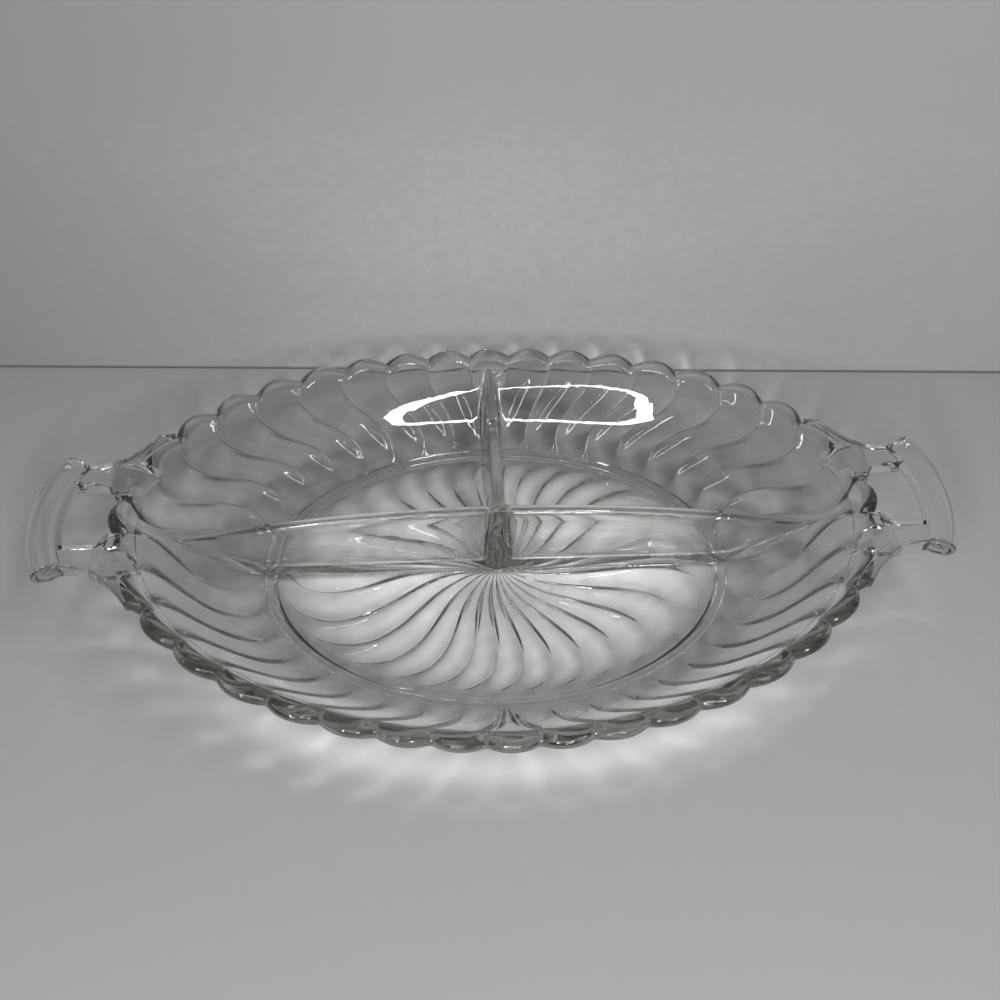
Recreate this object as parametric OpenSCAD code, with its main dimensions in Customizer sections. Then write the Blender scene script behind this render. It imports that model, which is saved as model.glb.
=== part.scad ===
// Oval three-part relish tray in pressed glass, with two side handles.
// One pressing: its regions are separate solids that meet face to face.
// X runs from handle to handle, Y towards the cross divider, Z up from the table.

/* [Bowl] */
// Length of the rim, from valley to valley of the scallops
rim_l = 218.8; // [200:0.2:240]
// Width of the rim, from valley to valley of the scallops
rim_w = 143.6; // [136:0.2:160]
// Height of the rim valleys above the table, at the middle of the long sides
tray_h = 28.6; // [26:0.2:34]
// How much higher the rim is at the handles
rim_rise = 6.3; // [3:0.1:8]
// Thickness of the rim, seen from above
edge_t = 4.2; // [3:0.1:5]
// How far the rim's rounded top stands over its inner and outer edges
edge_crown = 1.0; // [0.5:0.1:1.5]

/* [Foot and floor] */
// Length of the foot ring
foot_l = 145.6; // [136:0.2:150]
// Width of the foot ring
foot_w = 100.8; // [94:0.2:104]
// Width of the foot ring's band
foot_band = 4.0; // [3:0.1:5]
// Height of the foot ring's recess, from the table to the plain margin
foot_h = 2.2; // [1.8:0.1:3]
// Thickness of the floor over the plain margin
floor_t = 4.8; // [4:0.1:6]
// How far inside the foot's edge the flat of the floor ends
heel_in = 1.4; // [1:0.1:2.5]

/* [Flutes and scallops] */
// Flutes in each quarter of the wall
flutes_quarter = 10; // [8:1:12]
// How far a scallop stands out from its valleys
crest_out = 2.1; // [1:0.1:2.5]
// How far a scallop rises over its valleys
crest_up = 1.6; // [0.8:0.1:2]
// Depth of the flutes at the foot
flute_heel = 1.3; // [0.8:0.1:1.6]
// Sideways sweep of the flutes, in degrees
flute_sweep = 6; // [0:0.5:6]

/* [Petals] */
// Petals under the floor
petal_count = 28; // [20:2:32]
// Depth of a petal, from its creases to its crest
petal_depth = 1.8; // [0.6:0.1:2]
// How far the petals' creases are sunk into the floor
crease_sunk = 0.6; // [0.3:0.1:0.8]
// Width of the plain margin between the petals and the foot ring
petal_margin = 2.4; // [1.5:0.1:4]

/* [Dividers] */
// Height of the dividers above the table, where they meet
divider_h = 34.0; // [31:0.2:38]
// Width of a divider across its top
divider_top_w = 3.2; // [2.4:0.1:4]
// Width of a divider across its base
divider_base_w = 6.4; // [5:0.1:8]
// Drop of the long divider's top from the middle to its ends
long_drop = 10.4; // [8:0.1:12]
// Drop of the cross divider's top from the middle to the rear wall
cross_drop = 8.0; // [6:0.1:9]
// Radius of the fillets along the dividers' feet
divider_fillet = 1.6; // [1:0.1:2.5]

/* [Handles] */
// Length of the finger opening, from the rim's scallops to the grip
window_l = 12.1; // [8:0.1:16]
// Width of a grip, seen from above
grip_w = 9.4; // [8:0.1:10.5]
// Thickness of a grip
grip_t = 6.9; // [5:0.1:8]
// Radius of the grip's bow, along its middle
grip_bow_r = 43; // [40:0.5:70]
// Length of a grip from end to end
grip_l = 39.4; // [39:0.1:48]
// Height of the grips' middle above the table
grip_z = 34.9; // [34:0.1:36]
// Width of the finger opening between the arms
window_w = 22.4; // [19:0.2:23]
// Width of an arm
arm_w = 7.4; // [6:0.1:8]
// Thickness of an arm at the rim
arm_t = 4.6; // [4:0.1:5]
// How far an arm's top climbs from the rim to the grip
arm_rise = 1.5; // [0.5:0.1:2]
// How far the arms' tops lie below the grips' tops
arm_drop = 0.4; // [0:0.1:1]
// How far an arm flares along the rim
arm_flare = 12; // [6:0.5:13]
// How far an arm's flare stands out over the scallops where it ends
flare_lip = 0.4; // [0.2:0.1:0.8]

/* [Hidden] */
glass = "#c9d8d3";
overrun = 1;

rim_a = rim_l / 2;
rim_b = rim_w / 2;
foot_a = foot_l / 2;
foot_b = foot_w / 2;
floor_z = foot_h + floor_t;
// Height where the petals' solid ends inside the floor
seam_share = 0.2;
seam_z = foot_h + crease_sunk + seam_share * floor_t;
end_z = tray_h + rim_rise;
lid_z = end_z + tray_h;

// Shares that shape the wall, chosen by hand
bow_share = 0.3;
rise_power = 1.6;
foot_even_share = 0.58;
pinch_share = 0.08;
high_sweep_share = 0.75;
low_sweep_share = 0.25;
sweep_power = 1.1;
tongue_share = 0.15;
rim_seam_share = 0.86;

flutes = 4 * flutes_quarter;
flute_steps = 4;
columns = flutes * flute_steps;
outer_shares = [0, 0.06, 0.16, 0.3, 0.44, 0.58, 0.72, rim_seam_share];
inner_shares = [0, 0.15, 0.3, 0.46, 0.66, rim_seam_share];
edge_outer_shares = [rim_seam_share, 0.94, 1];
edge_inner_shares = [rim_seam_share, 1];

// Degrees by which an ellipse's angle shifts where steps along it are to be even
function even_shift(a, b) = 45 / PI * (a * a - b * b) / (a * a + b * b);
function mix(p, q, s) = p + (q - p) * s;
function quarter(i) = floor(i / flutes_quarter);
function quarter_sign(i) = quarter(i) % 2 == 0 ? 1 : -1;

// Angle of crease i at the rim, and at the foot, from the rear clockwise
function rim_angle(i) =
    let(u = (i + 1 / 2) * 360 / flutes)
    u - even_shift(rim_a, rim_b) * sin(2 * u);
function foot_step(i) =
    let(j = i - quarter(i) * flutes_quarter,
        k = quarter_sign(i) > 0 ? j : flutes_quarter - 1 - j)
    90 * (k + pinch_share) / (flutes_quarter - 1 / 2 + pinch_share);
function foot_angle(i) =
    let(u = quarter_sign(i) > 0 ? 90 * quarter(i) + foot_step(i)
                                : 90 * (quarter(i) + 1) - foot_step(i))
    u - foot_even_share * even_shift(foot_a, foot_b) * sin(2 * u);

// Angle of crease i at share v of the way from the foot to the rim
function sweep_curve(v) =
    high_sweep_share * sin(360 * pow(v, sweep_power)) + low_sweep_share * sin(180 * v);
function crease_angle(i, v) =
    let(t = mix(foot_angle(i), rim_angle(i), v))
    t - flute_sweep * quarter_sign(i) * abs(sin(t)) * sweep_curve(v);

// Angle of wall column c, and how far across its flute the column lies
function column_angle(c, v) =
    let(i = floor(c / flute_steps), f = c / flute_steps - i)
    i < flutes - 1
        ? mix(crease_angle(i, v), crease_angle(i + 1, v), f)
        : mix(crease_angle(i, v), crease_angle(0, v) + 360, f);
function lobe(c) = sin(180 * (c / flute_steps - floor(c / flute_steps)));

// Wall profile: share of the way out, share of the way up, and the rim's height
function way_out(v) = mix(v, sin(90 * v), bow_share);
function way_up(v) = mix(v, 1 - cos(90 * v), bow_share);
function edge_z(t) = tray_h - edge_crown + rim_rise * pow(abs(sin(t)), rise_power);
function flute_depth(v) =
    let(s = 1 - min(1, v / tongue_share))
    mix(flute_heel, crest_out, v) * sqrt(1 - s * s);
function outward(t, a, b) =
    [b * sin(t), a * cos(t), 0] / norm([b * sin(t), a * cos(t)]);

function outer_point(c, v) =
    let(t = column_angle(c, v),
        a = mix(foot_a, rim_a, way_out(v)),
        b = mix(foot_b, rim_b, way_out(v)))
    [a * sin(t), b * cos(t), mix(foot_h, edge_z(t), way_up(v)) + crest_up * lobe(c) * pow(v, 4)]
    + outward(t, a, b) * flute_depth(v) * lobe(c);
// The smooth face inside carries on upwards behind each scallop
function inner_point(c, v) =
    let(t = column_angle(c, v),
        w = v + crest_up / (edge_z(t) - floor_z) * lobe(c) * pow(v, 4),
        a = mix(foot_a - heel_in, rim_a - edge_t, way_out(w)),
        b = mix(foot_b - heel_in, rim_b - edge_t, way_out(w)))
    [a * sin(t), b * cos(t), mix(floor_z, edge_z(t), way_up(w))];
// Points over the rounded top of the rim, s from the inner edge to the outer edge
function crown_point(c, s) =
    mix(inner_point(c, 1), outer_point(c, 1), s) + [0, 0, edge_crown * sin(180 * s)];
crown_shares = [0.25, 0.5, 0.75];

function outer_rows(shares) = [for (v = shares) [for (c = [0:columns - 1]) outer_point(c, v)]];
function inner_rows(shares) = [for (v = shares) [for (c = [0:columns - 1]) inner_point(c, v)]];
function reversed(list) = [for (k = [len(list) - 1:-1:0]) list[k]];
function joined(rows) = [for (row = rows) each row];

// Triangles between row r and row s of a set of rows of n points. Faces that meet are cut
// along the same diagonals, so "leaning" chooses the other one
function band(r, s, n, leaning = false) = [
    for (c = [0:n - 1])
        let(d = (c + 1) % n)
        each leaning
            ? [[r * n + c, r * n + d, s * n + c], [r * n + d, s * n + d, s * n + c]]
            : [[r * n + c, s * n + d, s * n + c], [r * n + c, r * n + d, s * n + d]]
];

// Solid of a closed loop of rows, each running once round the tray
module ring_solid(rows, leaning_seam = false) {
    n = len(rows[0]);
    m = len(rows);
    polyhedron(joined(rows), [
        for (r = [0:m - 1]) each band(r, (r + 1) % m, n, leaning_seam && r == m - 1)
    ]);
}

// Solid of a stack of rows, closed by a flat face at the first and the last row
module stack_solid(rows, leaning = false) {
    n = len(rows[0]);
    m = len(rows);
    polyhedron(joined(rows), [
        for (r = [0:m - 2]) each band(r, r + 1, n, leaning),
        [for (c = [n - 1:-1:0]) c],
        [for (c = [0:n - 1]) (m - 1) * n + c]
    ]);
}

function raised(row, z) = [for (p = row) [p.x, p.y, z]];
function flat(row) = [for (p = row) [p.x, p.y]];

// The space inside the bowl, open far above the rim
module bowl_space() {
    rows = inner_rows(concat(inner_shares, [1]));
    top = rows[len(rows) - 1];
    stack_solid(concat(rows, [raised(top, lid_z)]), leaning = true);
}

// Everything inside the outer face of the rim
module bowl_body() {
    rows = outer_rows(edge_outer_shares);
    top = rows[len(rows) - 1];
    stack_solid(concat([raised(rows[0], 0)], rows, [raised(top, lid_z)]));
}

module side_wall() color(glass)
    ring_solid(concat(outer_rows(outer_shares), inner_rows(reversed(inner_shares))));

module scalloped_rim() color(glass)
    ring_solid(concat(
        outer_rows(edge_outer_shares),
        [for (s = reversed(crown_shares)) [for (c = [0:columns - 1]) crown_point(c, s)]],
        inner_rows(reversed(edge_inner_shares))
    ), leaning_seam = true);

// Outline inside the foot ring, and a point of the petals' underside
petal_steps = 6;
petal_columns = petal_count * petal_steps;
recess_a = foot_a - foot_band;
recess_b = foot_b - foot_band;
petal_a = recess_a - petal_margin;
petal_b = recess_b - petal_margin;
petal_shares = [0.08, 0.2, 0.35, 0.5, 0.65, 0.8, 0.9, 0.96, 1];
petal_turn = 3;
swirl_shares = [54, -114, 46.5];
tip_share = 0.1;
heart_share = 0.3;

function swirl(s) = swirl_shares[0] * s + swirl_shares[1] * s * s + swirl_shares[2] * s * s * s;
function petal_lobe(c) = sin(180 * (c / petal_steps - floor(c / petal_steps)));
function ellipse_at(phi, a, b) =
    a * b / norm([b * cos(phi), a * sin(phi)]) * [cos(phi), sin(phi)];
// Share of its full depth that a petal has at share s of the way out
function petal_body(c, s) =
    let(end = 1 - tip_share * (1 - petal_lobe(c)),
        k = max(0, min(1, (end - s) / tip_share + petal_lobe(c) / 2)))
    min(1, (s - petal_shares[0]) / heart_share) * sqrt(1 - (1 - k) * (1 - k));
function petal_point(c, s) =
    let(phi = petal_turn - 90 + 360 * c / petal_columns + swirl(1 - s),
        p = s * ellipse_at(phi, petal_a, petal_b))
    [p.x, p.y, petal_z(c, s)];
function petal_z(c, s) =
    let(k = petal_body(c, s),
        deep = max(0, min(1, (1 - s) / tip_share)))
    foot_h + crease_sunk * deep - petal_depth * petal_lobe(c) * k;
function recess_row(z) = [
    for (c = [0:petal_columns - 1])
        let(p = ellipse_at(petal_turn - 90 + 360 * c / petal_columns, recess_a, recess_b))
        [p.x, p.y, z]
];

module swirl_petals() color(glass)
    stack_solid(reversed(concat(
        [for (s = petal_shares) [for (c = [0:petal_columns - 1]) petal_point(c, s)]],
        [recess_row(foot_h), recess_row(seam_z)]
    )));

// Outlines of the wall's lower edge, outside and inside
foot_row = outer_rows([0])[0];
heel_row = inner_rows([0])[0];

module floor_plate() color(glass)
    difference() {
        stack_solid([foot_row, heel_row], leaning = true);
        linear_extrude(seam_z) polygon(flat(recess_row(0)));
    }

module foot_ring() color(glass)
    linear_extrude(foot_h) difference() {
        polygon(flat(foot_row));
        polygon(flat(recess_row(0)));
    }

// Dividers: a drafted bar with a round top and filleted feet, crowned along its length
divider_reach_share = 0.845;
cross_reach_share = 0.9;
divider_stations = 16;
arc_steps = 4;
long_reach = divider_reach_share * rim_a;
cross_reach = cross_reach_share * rim_b;

function arc_points(centre, r, from, to) = [
    for (k = [0:arc_steps])
        let(turn = mix(from, to, k / arc_steps))
        centre + r * [cos(turn), sin(turn)]
];
// Half of a divider's section with its top at height z, from the floor up
function half_section(z) =
    let(top = divider_top_w / 2, foot = divider_base_w / 2 + divider_fillet)
    concat(
        [[foot, floor_z - overrun]],
        arc_points([foot, floor_z + divider_fillet], divider_fillet, -90, -180),
        arc_points([0, z - top], top, 0, 90)
    );
function section(z) =
    let(half = half_section(z))
    concat([for (p = half) [-p.x, p.y]], [for (k = [len(half) - 2:-1:0]) half[k]]);
// Bar along X from x0 to x1 whose top drops by drop at the distance reach from the middle
module crowned_bar(x0, x1, reach, drop) {
    stack_solid([
        for (k = [0:divider_stations])
            let(x = mix(x0, x1, k / divider_stations))
            [for (p = section(divider_h - drop * x * x / (reach * reach))) [x, p.x, p.y]]
    ]);
}
module long_bar() crowned_bar(-rim_a, rim_a, long_reach, long_drop);

module long_divider() color(glass)
    intersection() {
        long_bar();
        bowl_space();
    }

module cross_divider() color(glass)
    intersection() {
        difference() {
            rotate([0, 0, 90]) crowned_bar(0, rim_b, cross_reach, cross_drop);
            long_bar();
        }
        bowl_space();
    }

// Handles
grip_edges = 32;
bow_x = rim_a + crest_out + window_l + grip_w / 2 - grip_bow_r;
grip_turn = asin(grip_l / 2 / grip_bow_r);
// How deep the arms reach into the grip's round side, as a share of its half width
bite_share = 0.55;
arm_bite = bite_share * grip_w / 2;
arm_top = grip_z + grip_t / 2 - arm_drop;
arm_foot = arm_top - arm_rise - arm_t;
arm_y0 = window_w / 2;
arm_y1 = arm_y0 + arm_w;
flare_steps = 6;
// How far outside the rim the flare starts, as a share of its length
flare_out_share = 0.7;
flare_x = rim_a + flare_out_share * arm_flare;
far_y = arm_y1 + arm_flare;
near_share = 0.35;
near_y = arm_y0 - near_share * arm_flare;
lip_a = rim_a + crest_out + flare_lip;
lip_b = rim_b + crest_out + flare_lip;

module grip_body() {
    translate([bow_x, 0, grip_z]) rotate([0, 0, -grip_turn])
        rotate_extrude(angle = 2 * grip_turn, $fn = 144)
            translate([grip_bow_r, 0]) polygon([
                for (k = [0:grip_edges - 1])
                    [grip_w / 2 * cos(360 * k / grip_edges), grip_t / 2 * sin(360 * k / grip_edges)]
            ]);
}
function bend(p, q, r) = [
    for (k = [0:flare_steps])
        let(s = k / flare_steps)
        mix(mix(p, q, s), mix(q, r, s), s)
];
function bow_point(y) = [bow_x + sqrt(pow(grip_bow_r - arm_bite, 2) - y * y), y];
// Where an arm's flare runs out over the scallops, at the distance y from the tray's axis
function lip_point(y) = [lip_a * sqrt(1 - y * y / (lip_b * lip_b)), y];
// Where the flare's tangent at the distance end_y meets an arm's side at the distance y
function lip_corner(y, end_y) =
    [(1 - y * end_y / (lip_b * lip_b)) * lip_a * lip_a / lip_point(end_y).x, y];
// The arm behind the long axis, on the right: its outline seen from above, and from the side
module arm_body() {
    root_x = lip_point(far_y).x - 2 * edge_t;
    end_x = bow_x + grip_bow_r;
    depth = arm_y1 + 2 * arm_flare;
    intersection() {
        translate([0, 0, arm_foot]) linear_extrude(arm_t + arm_rise) polygon(concat(
            [bow_point(arm_y0), bow_point((arm_y0 + arm_y1) / 2), bow_point(arm_y1)],
            bend([flare_x, arm_y1], lip_corner(arm_y1, far_y), lip_point(far_y)),
            [[root_x, far_y], [root_x, near_y]],
            bend(lip_point(near_y), lip_corner(arm_y0, near_y), [flare_x, arm_y0])
        ));
        translate([0, depth, 0]) rotate([90, 0, 0]) linear_extrude(depth) polygon([
            [0, 0], [end_x, 0], [end_x, arm_top], [rim_a, arm_top - arm_rise], [0, arm_top - arm_rise]
        ]);
    }
}
module arm() {
    difference() {
        arm_body();
        bowl_body();
        grip_body();
    }
}

module right_grip() color(glass) grip_body();
module right_rear_arm() color(glass) arm();
module right_front_arm() color(glass) mirror([0, 1, 0]) arm();
module left_grip() color(glass) mirror([1, 0, 0]) grip_body();
module left_rear_arm() color(glass) mirror([1, 0, 0]) arm();
module left_front_arm() color(glass) mirror([1, 0, 0]) mirror([0, 1, 0]) arm();

floor_plate();
swirl_petals();
foot_ring();
side_wall();
scalloped_rim();
long_divider();
cross_divider();
right_grip();
right_front_arm();
right_rear_arm();
left_grip();
left_front_arm();
left_rear_arm();
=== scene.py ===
"""Oval three-part relish tray in clear pressed glass, on a pale floor under a frame lamp."""
import math

import bmesh
import bpy
import numpy as np
from mathutils import Matrix, Vector


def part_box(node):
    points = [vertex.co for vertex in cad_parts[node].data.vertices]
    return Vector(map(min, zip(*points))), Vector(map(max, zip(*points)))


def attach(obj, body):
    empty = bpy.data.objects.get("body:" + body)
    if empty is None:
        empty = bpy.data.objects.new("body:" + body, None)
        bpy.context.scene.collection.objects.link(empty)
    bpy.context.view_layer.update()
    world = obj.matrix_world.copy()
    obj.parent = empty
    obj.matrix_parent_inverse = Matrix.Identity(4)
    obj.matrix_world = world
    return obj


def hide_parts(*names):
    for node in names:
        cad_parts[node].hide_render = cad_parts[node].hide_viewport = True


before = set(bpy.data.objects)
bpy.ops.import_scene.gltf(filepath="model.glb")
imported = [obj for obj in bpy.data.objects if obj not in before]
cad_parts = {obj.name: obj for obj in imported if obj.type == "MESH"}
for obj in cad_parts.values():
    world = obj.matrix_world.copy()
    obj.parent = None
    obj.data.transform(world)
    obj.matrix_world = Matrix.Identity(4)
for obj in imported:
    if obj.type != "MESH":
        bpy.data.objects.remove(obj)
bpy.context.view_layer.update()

MM = 0.001


def corner(node, side, axis):
    """Place of a node's lowest (0) or highest (1) corner on an axis, in millimetres."""
    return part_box(node)[side][axis] / MM


# Bowl, in millimetres. Its large sizes follow the frame, and EASE keeps it inside the frame's box
CREST_OUT = 2.1
CREST_UP = 1.6
EASE = 0.05
RIM_A = corner("scalloped_rim", 1, 0) - CREST_OUT - EASE
RIM_B = corner("scalloped_rim", 1, 1) - CREST_OUT - EASE
FOOT_A = corner("foot_ring", 1, 0)
FOOT_B = corner("foot_ring", 1, 1)
FOOT_H = corner("foot_ring", 1, 2)
FLOOR_Z = corner("floor_plate", 1, 2)
TRAY_H = 28.5
RIM_RISE = 6.3
RISE_POWER = 1.6
HEEL_IN = 1.4
BOW = 0.3
FLOOR_FILLET = 2.6

# Rim: its thickness from above, and the height and outward lean of its rounded top
EDGE_T = 4.7
EDGE_CROWN = 2.0
CROWN_LEAN = 0.25
CROWN_STEPS = 12

# Flutes outside the wall, from round tongues at the foot to the rim's scallops. They sweep in an
# S, mostly (HIGH_SWEEP), and a pair of creases closes up at the front's and the rear's foot (PINCH)
FLUTES_QUARTER = 10
FLUTES = 4 * FLUTES_QUARTER
FLUTE_HEEL = 1.3
FLUTE_SWEEP = 6.0
FOOT_EVEN = 0.58
PINCH = 0.08
HIGH_SWEEP = 0.75
SWEEP_POWER = 1.1
TONGUE = 0.17
WALL_ROWS = 40

# Petals under the floor. SWIRL holds the turn in degrees that each power of the way in adds, HUB
# and HEART are the shares of the way out where the petals start, and over which they deepen
PETALS = 28
PETAL_MARGIN = 2.9
FOOT_BAND = 4.0
PETAL_DEPTH = 1.1
CREASE_SUNK = 0.6
PETAL_TURN = 3.0
SWIRL = (54.0, -114.0, 46.5)
PETAL_END = 0.86
PETAL_ROWS = 30
HEART = 0.3
HUB = 0.03
ROUND_END_ROWS = 15

# Places across a flute or petal, from edge to edge of its rounded face; a groove lies between two
ACROSS = np.array((-1, -0.93, -0.82, -0.66, -0.46, -0.24, 0, 0.24, 0.46, 0.66, 0.82, 0.93, 1))
GROOVE = 0.05
SLIMMEST = 0.12

# Dividers: their tops drop towards the wall, and they thin out over END_TAPER. The cross divider's
# fillet grows by WALL_FILLET towards the wall, and CORNER rounds the corners where the two meet
DIVIDER_H = 34.0
LONG_DROP = 10.4
LONG_REACH = 92.4
CROSS_DROP = 8.0
CROSS_REACH = 64.6
TOP_HALF = 1.6
TOP_ARC = 80
DRAFT = 0.06
FILLET = 1.9
WALL_FILLET = 2.6
END_TAPER = 16.0
PAST_END = 4.0
THIN_TOP = 0.3
THIN_FILLET = 0.5
SQUAT_SPARE = 0.4
TABLE_REACH = 1.25
TABLE_PLACES = 120
SINK_SOFT = 1.2
CROSSING_SOFT = 0.7
CORNER = 2.6

# Grid over the floor and inner wall: its lines past a divider's foot, and how they spread.
# It ends at the share JOIN up the wall, where loops carry on to the rim
GRID_LINES_X = 66
GRID_LINES_Y = 46
GRID_GROWTH = 1.12
GRID_STRAIGHT = 8.0
GRID_DRIFT = 5.0
GRID_ROUNDS = 4
DIAGONAL = math.sqrt(0.5)
JOIN = 0.965
JOIN_GAP = 0.006


def lerp(a, b, s):
    return a + (b - a) * s


def eased(s):
    """A share from 0 to 1 with soft ends."""
    s = min(1, max(0, s))
    return s * s * (3 - 2 * s)


def smooth_max(a, b, k):
    """The larger of a and b, rounded where they differ by less than k."""
    h = np.maximum(k - np.abs(a - b), 0) / k
    return np.maximum(a, b) + h * h * k / 4


def even_shift(a, b):
    """Degrees by which an ellipse's angle shifts where steps along it are even."""
    return 45 / math.pi * (a * a - b * b) / (a * a + b * b)


def sind(a):
    return np.sin(np.radians(a))


def cosd(a):
    return np.cos(np.radians(a))


def way_out(v):
    """Share of the wall's spread at share v: it leans out first, then stands up."""
    return lerp(v, sind(90 * v), BOW)


def way_up(v):
    """Share of the wall's height at share v."""
    return lerp(v, 1 - cosd(90 * v), BOW)


def edge_z(t):
    """Height of the rim's edges, under its rounded top."""
    return TRAY_H - EDGE_CROWN + RIM_RISE * np.abs(sind(t)) ** RISE_POWER


def crease_angles(v):
    """Angles of the creases between flutes at share v up the wall, and the first one again."""
    i = np.arange(FLUTES)
    even = (i + 0.5) * 360 / FLUTES
    rim = even - even_shift(RIM_A, RIM_B) * sind(2 * even)
    # At the foot the quarters mirror each other, with the front's and the rear's creases closer
    quarter = i // FLUTES_QUARTER
    side = np.where(quarter % 2 == 0, 1, -1)
    step = i - quarter * FLUTES_QUARTER
    step = np.where(side > 0, step, FLUTES_QUARTER - 1 - step)
    step = 90 * (step + PINCH) / (FLUTES_QUARTER - 0.5 + PINCH)
    even = np.where(side > 0, 90 * quarter + step, 90 * (quarter + 1) - step)
    foot = even - FOOT_EVEN * even_shift(FOOT_A, FOOT_B) * sind(2 * even)
    t = lerp(foot, rim, v)
    sweep = HIGH_SWEEP * sind(360 * v**SWEEP_POWER) + (1 - HIGH_SWEEP) * sind(180 * v)
    t = t - FLUTE_SWEEP * side * np.abs(sind(t)) * sweep
    return np.append(t, t[0] + 360)


def columns(width):
    """Shares of the way from groove to groove of a face's points, for its width as a share."""
    return np.append(0, (1 + (1 - GROOVE) * max(width, SLIMMEST) * ACROSS) / 2)


# Height of a face over its groove at those points, as a share
FACE = np.append(0, 1 - ACROSS**2)
FLUTE_FACES = np.tile(FACE, FLUTES)


def flute_width(v):
    """Width of a flute's face at share v, as a share: its lower end is round."""
    return math.sqrt(1 - max(0, 1 - v / TONGUE) ** 2)


def wall_angles(v):
    """Angle of each column of the wall at share v, from the rear clockwise."""
    creases = crease_angles(v)
    return lerp(creases[:-1, None], creases[1:, None], columns(flute_width(v))[None, :]).ravel()


def outer_loop(v):
    """Loop of points round the outside of the wall at share v."""
    t = wall_angles(v)
    a = lerp(FOOT_A, RIM_A, way_out(v))
    b = lerp(FOOT_B, RIM_B, way_out(v))
    lobe = flute_width(v) * FLUTE_FACES
    out = np.stack([b * sind(t), a * cosd(t)], 1)
    out /= np.linalg.norm(out, axis=1)[:, None]
    depth = lerp(FLUTE_HEEL, CREST_OUT, v) * lobe
    z = lerp(FOOT_H, edge_z(t), way_up(v)) + CREST_UP * FLUTE_FACES * v**4
    return np.stack([a * sind(t) + out[:, 0] * depth, b * cosd(t) + out[:, 1] * depth, z], 1)


def inner_loop(v, stretch):
    """Loop of points round the inside of the wall; stretch carries it on behind the scallops."""
    t = wall_angles(min(v, 1))
    w = v + stretch * CREST_UP / (edge_z(t) - FLOOR_Z) * FLUTE_FACES
    a = lerp(FOOT_A - HEEL_IN, RIM_A - EDGE_T, way_out(w))
    b = lerp(FOOT_B - HEEL_IN, RIM_B - EDGE_T, way_out(w))
    return np.stack([a * sind(t), b * cosd(t), lerp(FLOOR_Z, edge_z(t), way_up(w))], 1)


# Shares up the wall, and some way past its foot and its rim
SHARES = np.linspace(-0.6, 1.2, 721)


def ground(x, y):
    """Height of the bowl's smooth inside at a place, without the dividers."""
    a0, b0 = FOOT_A - HEEL_IN, FOOT_B - HEEL_IN
    da, db = RIM_A - EDGE_T - a0, RIM_B - EDGE_T - b0
    # Newton's steps to the spread of the oval through the place, as a share of the wall's
    spread_out = np.zeros_like(x)
    for _ in range(12):
        a, b = a0 + da * spread_out, b0 + db * spread_out
        f = (x / a) ** 2 + (y / b) ** 2 - 1
        slope = -2 * x**2 * da / a**3 - 2 * y**2 * db / b**3
        spread_out = np.clip(spread_out - f / np.minimum(slope, -1e-6), -0.7, 1.2)
    v = np.interp(spread_out, way_out(SHARES), SHARES)
    t = np.degrees(np.arctan2(x / a, y / b))
    rise = (edge_z(t) - FLOOR_Z) * way_up(v)
    return FLOOR_Z + smooth_max(rise, np.zeros_like(rise), FLOOR_FILLET)


class Shell:
    """The tray's points and faces while it grows loop by loop."""

    def __init__(self):
        self.points = []
        self.faces = []
        self.count = 0

    def add(self, points):
        self.points.append(np.asarray(points, float).reshape(-1, 3))
        start = self.count
        self.count += len(self.points[-1])
        return np.arange(start, self.count)

    def band(self, low, high):
        """Quads between two rows of as many points."""
        quads = np.stack([low, np.roll(low, -1), np.roll(high, -1), high], 1)
        self.faces += quads.tolist()

    def stack(self, loops):
        rows = [self.add(loop) for loop in loops]
        for low, high in zip(rows, rows[1:]):
            self.band(low, high)
        return rows

    def cap(self, row, middle):
        """Triangles from a row to a point in its middle."""
        tip = int(self.add([middle])[0])
        self.faces += [[tip, int(p), int(q)] for p, q in zip(row, np.roll(row, -1))]

    def stitch(self, low, high, low_angles, high_angles):
        """Triangles between two loops of different counts, walked round by angle."""
        low = np.append(low, low[0])
        high = np.append(high, high[0])
        a = np.append(low_angles, low_angles[0] + 360)
        b = np.append(high_angles, high_angles[0] + 360)
        i = j = 0
        while i < len(low) - 1 or j < len(high) - 1:
            take_low = j == len(high) - 1 or (i < len(low) - 1 and a[i + 1] <= b[j + 1])
            if take_low:
                self.faces.append([int(low[i]), int(low[i + 1]), int(high[j])])
                i += 1
            else:
                self.faces.append([int(low[i]), int(high[j + 1]), int(high[j])])
                j += 1

    def object(self, name):
        mesh = bpy.data.meshes.new(name)
        mesh.from_pydata((np.concatenate(self.points) * MM).tolist(), [], self.faces)
        return finished(name, mesh)


def finished(name, mesh):
    """An object of a mesh with its faces turned outwards."""
    work = bmesh.new()
    work.from_mesh(mesh)
    bmesh.ops.recalc_face_normals(work, faces=work.faces)
    work.to_mesh(mesh)
    work.free()
    obj = bpy.data.objects.new(name, mesh)
    bpy.context.scene.collection.objects.link(obj)
    return obj


def ellipse_angle(points, a, b):
    """Angles from the rear clockwise, in the ellipse's own measure, each past the one before."""
    t = np.degrees(np.arctan2(points[:, 0] / a, points[:, 1] / b))
    return np.degrees(np.unwrap(np.radians(t)))


def from_rear(row, points, a, b):
    """A row turned to start nearest the rear, and its points' angles from there clockwise."""
    angles = ellipse_angle(points, a, b)
    start = int(np.argmin(np.abs((angles + 180) % 360 - 180)))
    angles = np.roll(angles, -start)
    angles = angles - 360 * np.round(angles[0] / 360)
    return np.roll(row, -start), np.degrees(np.unwrap(np.radians(angles)))


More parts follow.
